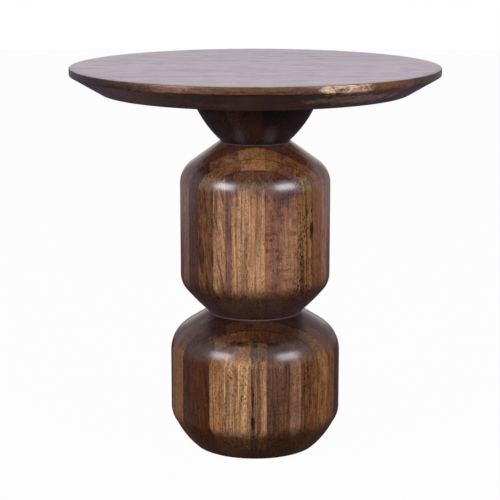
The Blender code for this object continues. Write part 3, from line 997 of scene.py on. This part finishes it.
# Operators, one for each piece or group of like pieces
class StageOperator(bpy.types.Operator):
    """Set up the camera, the two soft lamps, the pale floor and the white surroundings"""

    bl_idname = "side_table.stage"
    bl_label = "Stage"

    def execute(self, context):
        look = settings().stage
        context.scene.view_settings.view_transform = "Standard"
        bpy.ops.object.select_all(action="DESELECT")
        bpy.ops.object.camera_add(
            location=(look.camera_side, -look.camera_distance, look.camera_height),
            rotation=(math.pi / 2 - look.camera_pitch, 0.0, 0.0),
        )
        camera = context.object
        camera.data.lens = look.focal_length
        camera.data.sensor_width = SENSOR_WIDTH
        camera.data.clip_end = CLIP_END
        context.scene.camera = camera
        self.lamp("left_soft_box", look.left_turn, LEFT_BOX)
        self.lamp("right_soft_box", look.right_turn, RIGHT_BOX)
        self.floor()
        self.card("left_card", -1)
        self.card("right_card", 1)
        self.surroundings()
        return {"FINISHED"}

    def lamp(self, name, angle, size):
        """A soft box that faces the table. Angle 0 is towards the camera, and right is positive."""
        look = settings().stage
        level = math.cos(look.lamp_lift)
        away = Vector((math.sin(angle) * level, -math.cos(angle) * level, math.sin(look.lamp_lift)))
        centre = (CAD_BOX[0] + CAD_BOX[1]) / 2
        bpy.ops.object.light_add(type="AREA", location=centre + away * look.lamp_distance)
        lamp = bpy.context.object
        lamp.name = name
        lamp.rotation_euler = (-away).to_track_quat("-Z", "Y").to_euler()
        lamp.data.shape = "RECTANGLE"
        lamp.data.size, lamp.data.size_y = size
        lamp.data.energy = look.lamp_power
        lamp.data.color = look.lamp_tint

    def floor(self):
        """A wide pale floor that shows white, keeps the shadow, is mirrored dimly and is clear from below."""
        look = settings().stage
        bpy.ops.object.select_all(action="DESELECT")
        bpy.ops.mesh.primitive_plane_add(size=FLOOR_SIZE, location=(0.0, 0.0, CAD_BOX[0].z - FLOOR_DROP))
        floor = bpy.context.object
        floor.name = "floor"
        material, shader, flow = new_material("pale_floor")
        grain = flow.noise(flow.node("ShaderNodeTexCoord", output="Object"))
        feed(shader, Base_Color=flow.plain(look.floor).scaled(0.98 + 0.04 * grain))
        fix(shader, Roughness=0.9, Specular_IOR_Level=0.0)
        white = flow.node("ShaderNodeEmission", inputs={"Color": WHITE, "Strength": 1.0})
        dim_colour = (*look.floor_mirrored, 1.0)
        dim = flow.node("ShaderNodeEmission", inputs={"Color": dim_colour, "Strength": 1.0})
        clear = flow.node("ShaderNodeBsdfTransparent")
        below = flow.node("ShaderNodeNewGeometry", output="Backfacing")
        own = Flow(flow.tree, shader.outputs[0])
        camera, glossy, through = seen_rays(flow)
        shown = own
        for amount, other in ((camera * look.floor_white, white), (glossy + through, dim), (below, clear)):
            shown = flow.node("ShaderNodeMixShader", inputs={0: amount, 1: shown, 2: other})
        output = flow.tree.nodes["Material Output"]
        flow.tree.links.new(shown.socket, output.inputs["Surface"])
        floor.data.materials.append(material)

    def card(self, name, side):
        """A tall pale card behind the table and outside the picture, seen only in the lacquer."""
        near = Vector((side * CARD_NEAR[0], CARD_NEAR[1], 0.0))
        far = Vector((side * CARD_FAR[0], CARD_FAR[1], 0.0))
        bpy.ops.object.select_all(action="DESELECT")
        bpy.ops.mesh.primitive_plane_add(size=START_SIZE, location=(0.0, 0.0, 0.0))
        card = bpy.context.object
        card.name = name
        bpy.ops.object.mode_set(mode="EDIT")
        bpy.ops.mesh.select_mode(type="VERT")
        bpy.ops.mesh.merge(type="CENTER")
        bpy.ops.transform.translate(value=near)
        bpy.ops.mesh.extrude_vertices_move(TRANSFORM_OT_translate={"value": far - near})
        bpy.ops.mesh.select_all(action="SELECT")
        bpy.ops.mesh.extrude_region_move(TRANSFORM_OT_translate={"value": (0.0, 0.0, CARD_HEIGHT)})
        bpy.ops.object.mode_set(mode="OBJECT")
        material, shader, flow = new_material(name)
        fix(shader, Base_Color=(*settings().stage.card, 1.0), Roughness=1.0)
        card.data.materials.append(material)
        card.visible_camera = False

    def surroundings(self):
        """Plain light from all round, white where it is seen or mirrored."""
        scene = bpy.context.scene
        scene.world = scene.world or bpy.data.worlds.new("surroundings")
        scene.world.use_nodes = True
        tree = scene.world.node_tree
        background = tree.nodes["Background"]
        fix(background, Color=WHITE)
        ambient = settings().stage.ambient
        camera, glossy, through = seen_rays(Flow(tree))
        feed(background, Strength=ambient + (camera + glossy + through) * (1.0 - ambient))


def seen_rays(flow):
    """Masks of the rays that show a surface, mirror it or pass through glass to it."""
    outputs = ("Is Camera Ray", "Is Glossy Ray", "Is Transmission Ray")
    return flow.node("ShaderNodeLightPath", output=outputs)


class TopOperator(bpy.types.Operator):
    """Turn the round top and mark its boards"""

    bl_idname = "side_table.table_top"
    bl_label = "Table top"

    def execute(self, context):
        size = settings().top
        finish = settings().finish
        seed = settings().seed

        def stain_and_painted_light_at(vertex):
            """No foot; painted shade on the bevel and underside where they face down, towards the front and
            back; the darker ends of the boards, the left end more than the right; and no crown.
            """
            # Painted shade: darker where the bevel and underside face down, most towards the front and back
            under = smooth_step(vertex.normal.z, 0.0, -0.5)
            ends = smooth_step(-vertex.normal.x, 0.3, 0.9) + 0.5 * smooth_step(vertex.normal.x, 0.3, 0.9)
            middle = max(0.0, 1.0 - 2.0 * abs(vertex.normal.x))
            return 0.0, max(under * middle * finish.painted_under_shade, ends * finish.rim_stain), 0.0

        radius = size.diameter / 2
        top, bottom = TOP_HIGH.z, TOP_LOW.z
        rim = (radius, top)
        bevel_edge = (radius, top - size.edge_height)
        under_edge = (size.underside_diameter / 2, bottom)
        pocket = size.pocket_diameter / 2
        pocket_top = bottom + size.pocket_depth
        profile = [
            (0.0, top),
            *rounded((0.0, top), rim, bevel_edge, size.arris_round, EDGE_STEPS),
            *rounded(rim, bevel_edge, under_edge, size.arris_round, EDGE_STEPS),
            *rounded(bevel_edge, under_edge, (0.0, bottom), size.arris_round, EDGE_STEPS),
            (pocket, bottom),
            (pocket, pocket_top),
            (0.0, pocket_top),
        ]
        layers = layers_of(TOP_BOARDS, TOP_CHOSEN, ("plum",), RIM_BOARD_WIDTHS, radius, seed)
        rim_layers = layers_of(TOP_BOARDS, RIM_CHOSEN, RIM_TONES, RIM_BOARD_WIDTHS, radius, seed)
        piece, thickness = glue_up("table_top", profile, TOP_STEPS, layers, stain_and_painted_light_at, seed, rim_layers)
        wood = lacquered_wood("top_wood", "X", thickness, satin=True)
        place_piece(piece, wood, TOP_BOARDS)
        rim_wood = lacquered_wood("rim_wood", "X", thickness, finish.rim_gloss, RIM_PATCHES)
        piece.data.materials.append(rim_wood)
        for face in piece.data.polygons:
            face.material_index = int(face.normal.z < RIM_SLOPE)
        return {"FINISHED"}


class NeckOperator(bpy.types.Operator):
    """Turn the neck and mark its boards"""

    bl_idname = "side_table.neck"
    bl_label = "Neck"

    def execute(self, context):
        size = settings().neck
        finish = settings().finish
        seam_round = settings().fittings.seam_round
        top, bottom = NECK_HIGH.z, NECK_LOW.z
        bore = settings().fittings.bore_diameter / 2
        recess = size.recess_diameter / 2
        recess_floor = top - size.recess_depth
        side = bowed((size.top_diameter / 2, top), (size.foot_diameter / 2, bottom), size.bow)
        profile = [
            (bore, recess_floor),
            (recess, recess_floor),
            (recess, top),
            *rounded((recess, top), side[0], side[1], seam_round, EDGE_STEPS),
            *side[1:-1],
            *rounded(side[-2], side[-1], (0.0, bottom), seam_round, EDGE_STEPS),
            (bore, bottom),
            (bore, recess_floor),
        ]
        seed = settings().seed + 1
        layers = layers_of(NECK_BOARDS, {}, NECK_TONES, DRUM_BOARD_WIDTHS, size.top_diameter / 2, seed)
        # The neck's dark stain, which also carries painted shade under the top
        stain = (0.0, finish.neck_stain_and_shade, 0.0)
        piece, thickness = glue_up("neck", profile, DRUM_STEPS, layers, lambda vertex: stain, seed)
        wood = lacquered_wood("neck_wood", "Z", thickness, finish.neck_gloss, NECK_PATCHES)
        place_piece(piece, wood, NECK_BOARDS)
        return {"FINISHED"}


class DrumsOperator(bpy.types.Operator):
    """Turn the two drums and mark their boards"""

    bl_idname = "side_table.drums"
    bl_label = "Drums"

    def execute(self, context):
        table = settings()
        bore = table.fittings.bore_diameter / 2
        counterbore = table.lower.counterbore_diameter / 2
        depth = table.lower.counterbore_depth
        nut_room = [(counterbore, 0.0), (counterbore, depth), (bore, depth)]
        self.drum(UPPER, table.upper, [(bore, 0.0)], table.seed + 2)
        self.drum(LOWER, table.lower, nut_room, table.seed + 3)
        return {"FINISHED"}

    def drum(self, drum, size, bored, seed):
        """One drum. bored is the profile of what is bored in its foot, from the foot up."""
        nodes = board_nodes(drum.name)
        low, high = (corner.z for corner in reach(nodes))
        hip = low + size.taper_rise
        shoulder = high - size.shoulder_drop

        def stain_and_painted_light_at(vertex):
            """How far a point is on the foot, the shoulder's dark stain, made lighter at the sides as a
            painted sheen, and the crown.
            """
            foot = smooth_step(vertex.co.z - hip, *drum.foot_fade)
            crown = smooth_step(vertex.co.z - shoulder, *drum.crown_fade)
            # Painted sheen: the shoulder's stain is lighter towards the drum's sides
            painted_sheen_relief = 1.0 - 0.6 * smooth_step(abs(vertex.co.x) / size.diameter, 0.18, 0.38)
            return foot, crown * size.crown_stain * painted_sheen_relief, crown

        fittings = settings().fittings
        inner = (fittings.bore_diameter / 2, high)
        side = drum_side(size, high, low, fittings.seam_round)
        profile = [inner, *side, *((radius, low + rise) for radius, rise in bored), inner]
        layers = layers_of(nodes, drum.chosen, DRAWN_TONES, DRUM_BOARD_WIDTHS, size.diameter / 2, seed)
        piece, thickness = glue_up(drum.name, profile, DRUM_STEPS, layers, stain_and_painted_light_at, seed)
        slot = f"{drum.name}_wood"
        ledge_highlight = (high - LEDGE_HIGHLIGHT_START, high - LEDGE_HIGHLIGHT_FULL)
        wood = lacquered_wood(slot, "Z", thickness, size.gloss, drum.patches, drum.knots, size, ledge_highlight)
        place_piece(piece, wood, nodes)


class FittingsOperator(bpy.types.Operator):
    """Model the foot nut, the washer and the threaded tie rod, and finish the fittings that stay hidden"""

    bl_idname = "side_table.fittings"
    bl_label = "Fittings"

    def execute(self, context):
        steel = plated_steel("plated_steel")
        beech = dowel_beech("dowel_beech")
        for name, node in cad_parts.items():
            if name.startswith(("top_plate", "plate_screw_", "plate_nut")):
                node.material_slots[0].material = steel
            if name.startswith(("neck_dowel_", "waist_dowel_")):
                node.material_slots[0].material = beech
        self.washer(steel)
        self.nut(steel)
        self.rod(steel)
        return {"FINISHED"}

    def washer(self, steel):
        """A stamped washer with softened edges."""
        low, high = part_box("foot_washer")
        outer, edge = high.x, settings().fittings.edge_round
        hole = settings().fittings.bore_diameter / 2
        corners = [(hole, high.z), (outer, high.z), (outer, low.z), (hole, low.z)]
        profile = []
        for number, corner in enumerate(corners):
            profile += rounded(corners[number - 1], corner, corners[(number + 1) % 4], edge, EDGE_STEPS)
        profile.append(profile[0])
        piece = turn("foot_washer_ring", profile, HARDWARE_STEPS)
        finish_mesh()
        place_piece(piece, steel, ["foot_washer"])

    def nut(self, steel):
        """A hexagon nut with turned chamfers and a countersunk thread."""
        low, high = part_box("foot_nut")
        flat = settings().fittings.nut_width / 2
        corner = flat / math.cos(math.pi / 6)
        hole = settings().fittings.bore_diameter / 2
        fall = (corner - flat) * NUT_FALL
        face = flat * NUT_FACE
        clear = corner * NUT_CLEAR
        profile = [
            (hole + fall, high.z), (face, high.z), (clear, high.z - fall),
            (clear, low.z + fall), (face, low.z), (hole + fall, low.z),
            (hole, low.z + fall), (hole, high.z - fall), (hole + fall, high.z),
        ]
        form = turn("nut_form", profile, HARDWARE_STEPS)
        finish_mesh()
        bpy.ops.object.select_all(action="DESELECT")
        middle = (0.0, 0.0, (low.z + high.z) / 2)
        tall = (high.z - low.z) * NUT_TALL
        bpy.ops.mesh.primitive_cylinder_add(vertices=6, radius=corner, depth=tall, location=middle)
        piece = bpy.context.object
        piece.name = "foot_hex_nut"
        piece.data.name = "foot_hex_nut"
        bpy.ops.object.transform_apply(location=True, rotation=True, scale=True)
        chamfer = piece.modifiers.new("chamfer", "BOOLEAN")
        chamfer.operation = "INTERSECT"
        chamfer.object = form
        bpy.ops.object.modifier_apply(modifier="chamfer")
        bpy.data.objects.remove(form, do_unlink=True)
        bpy.ops.object.shade_smooth_by_angle(angle=SMOOTH_ANGLE)
        place_piece(piece, steel, ["foot_nut"])

    def rod(self, steel):
        """The tie rod, with ridges of thread at both ends."""
        size = settings().fittings
        low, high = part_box("tie_rod")
        radius = high.x
        root = radius - size.thread_depth
        ridges = int(size.thread_length / size.thread_pitch)
        down = [(0.0, high.z), (root, high.z)]
        up = [(0.0, low.z), (root, low.z)]
        for number in range(ridges):
            crest = (number + 0.5) * size.thread_pitch
            valley = (number + 1.0) * size.thread_pitch
            down += [(radius, high.z - crest), (root, high.z - valley)]
            up += [(radius, low.z + crest), (root, low.z + valley)]
        shank = [(radius, down[-1][1] - size.thread_pitch), (radius, up[-1][1] + size.thread_pitch)]
        piece = turn("threaded_tie_rod", [*down, *shank, *reversed(up)], HARDWARE_STEPS)
        finish_mesh()
        place_piece(piece, steel, ["tie_rod"])


class PadsOperator(bpy.types.Operator):
    """Model one felt pad and copy it under the base"""

    bl_idname = "side_table.felt_pads"
    bl_label = "Felt pads"

    def execute(self, context):
        felt = pad_felt("felt")
        edge = settings().fittings.edge_round
        low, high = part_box(PADS[0])
        radius = (high.x - low.x) / 2
        profile = [
            (0.0, high.z),
            *rounded((0.0, high.z), (radius, high.z), (radius, low.z), edge, EDGE_STEPS),
            *rounded((radius, high.z), (radius, low.z), (0.0, low.z), edge, EDGE_STEPS),
            (0.0, low.z),
        ]
        first = turn("felt_glide_1", profile, HARDWARE_STEPS)
        finish_mesh()
        for number, name in enumerate(PADS, 1):
            low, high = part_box(name)
            bpy.ops.object.select_all(action="DESELECT")
            first.select_set(True)
            context.view_layer.objects.active = first
            bpy.ops.object.duplicate(linked=False)
            pad = context.object
            pad.name = f"felt_pad_disc_{number}"
            pad.data.name = pad.name
            pad.location = ((low.x + high.x) / 2, (low.y + high.y) / 2, 0.0)
            bpy.ops.object.transform_apply(location=True, rotation=True, scale=True)
            place_piece(pad, felt, [name])
        bpy.data.objects.remove(first, do_unlink=True)
        return {"FINISHED"}


class TablePanel(bpy.types.Panel):
    """Lists the table's pieces and settings"""

    bl_idname = "SIDETABLE_PT_pieces"
    bl_label = "Pedestal Side Table"
    bl_space_type = "VIEW_3D"
    bl_region_type = "UI"
    bl_category = "Side Table"

    def draw(self, context):
        for operator in OPERATORS:
            self.layout.operator(operator.bl_idname)
        for key, kind in PARTS.items():
            box = self.layout.box()
            box.label(text=kind.__doc__)
            for name in kind.__annotations__:
                box.prop(getattr(context.scene.side_table, key), name)
        self.layout.prop(context.scene.side_table, "seed")


OPERATORS = (StageOperator, TopOperator, NeckOperator, DrumsOperator, FittingsOperator, PadsOperator)
CLASSES = (*PARTS.values(), TableSettings, *OPERATORS, TablePanel)


def register():
    for item in CLASSES:
        bpy.utils.register_class(item)
    bpy.types.Scene.side_table = PointerProperty(type=TableSettings)


def unregister():
    del bpy.types.Scene.side_table
    for item in reversed(CLASSES):
        bpy.utils.unregister_class(item)


def main():
    """Builds the stage and the table."""
    register()
    bpy.ops.side_table.stage()
    bpy.ops.side_table.table_top()
    bpy.ops.side_table.neck()
    bpy.ops.side_table.drums()
    bpy.ops.side_table.fittings()
    bpy.ops.side_table.felt_pads()


if __name__ == "__main__":
    main()
